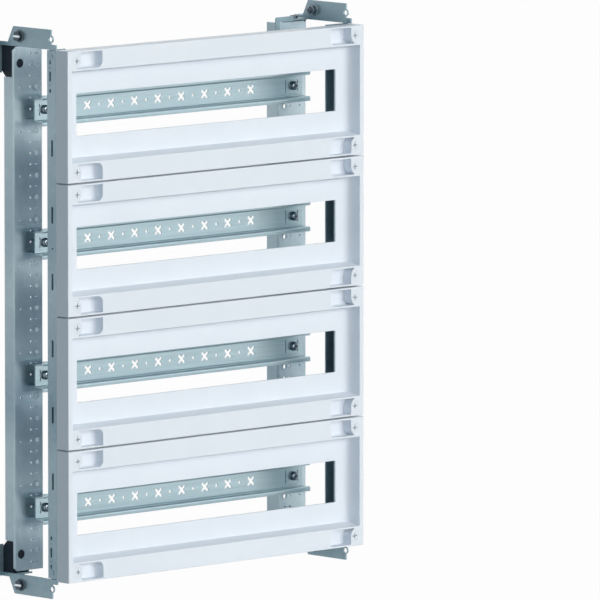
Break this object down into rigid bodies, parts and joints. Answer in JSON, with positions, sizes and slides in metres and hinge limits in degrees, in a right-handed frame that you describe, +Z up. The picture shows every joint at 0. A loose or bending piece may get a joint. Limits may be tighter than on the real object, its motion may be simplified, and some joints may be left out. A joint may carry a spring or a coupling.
{
  "type": "din rail mounting frame",
  "caption": "Upright mounting frame: hat rails in rows behind moulded covers with long windows, on perforated side channels with corner brackets and fixing ears.",
  "frame": {"origin": "centre of the bounding box's footprint, at the height of the lower brackets' bottom edges", "axes": "+Z up, +X to the right seen from the covers, +Y towards the wall behind, covers face -Y"},
  "size_m": [0.486, 0.1134, 0.641],
  "materials": {
    "cover_plastic": "pale cool grey, moulded, fine matt grain",
    "lock_plastic": "pale cool grey, moulded, smooth",
    "galvanised_sheet": "zinc-coated sheet, satin, bent and punched",
    "rail_steel": "zinc-plated and passivated, satin, rolled lengthways",
    "zinc_fasteners": "bright zinc plating",
    "dark_fasteners": "black zinc plating",
    "block_plastic": "black moulded plastic"
  },
  "bodies": {
    "root": {"cover_1": "cover_plastic", "cover_locks_1": "lock_plastic", "rail_1": "rail_steel", "rail_spacer_left_1": "galvanised_sheet", "rail_spacer_right_1": "galvanised_sheet", "cover_2": "cover_plastic", "cover_locks_2": "lock_plastic", "rail_2": "rail_steel", "rail_spacer_left_2": "galvanised_sheet", "rail_spacer_right_2": "galvanised_sheet", "cover_3": "cover_plastic", "cover_locks_3": "lock_plastic", "rail_3": "rail_steel", "rail_spacer_left_3": "galvanised_sheet", "rail_spacer_right_3": "galvanised_sheet", "cover_4": "cover_plastic", "cover_locks_4": "lock_plastic", "rail_4": "rail_steel", "rail_spacer_left_4": "galvanised_sheet", "rail_spacer_right_4": "galvanised_sheet", "rail_screws": "zinc_fasteners", "carrier_strip_left": "galvanised_sheet", "profile_left": "galvanised_sheet", "carrier_strip_right": "galvanised_sheet", "profile_right": "galvanised_sheet", "end_block_lower_left": "block_plastic", "corner_bracket_lower_left": "galvanised_sheet", "end_block_lower_right": "block_plastic", "corner_bracket_lower_right": "galvanised_sheet", "end_block_upper_left": "block_plastic", "corner_bracket_upper_left": "galvanised_sheet", "end_block_upper_right": "block_plastic", "corner_bracket_upper_right": "galvanised_sheet", "bracket_screws": "zinc_fasteners", "bracket_nuts": "zinc_fasteners", "block_screws": "dark_fasteners", "strip_rivets": "galvanised_sheet"}
  },
  "joints": []
}
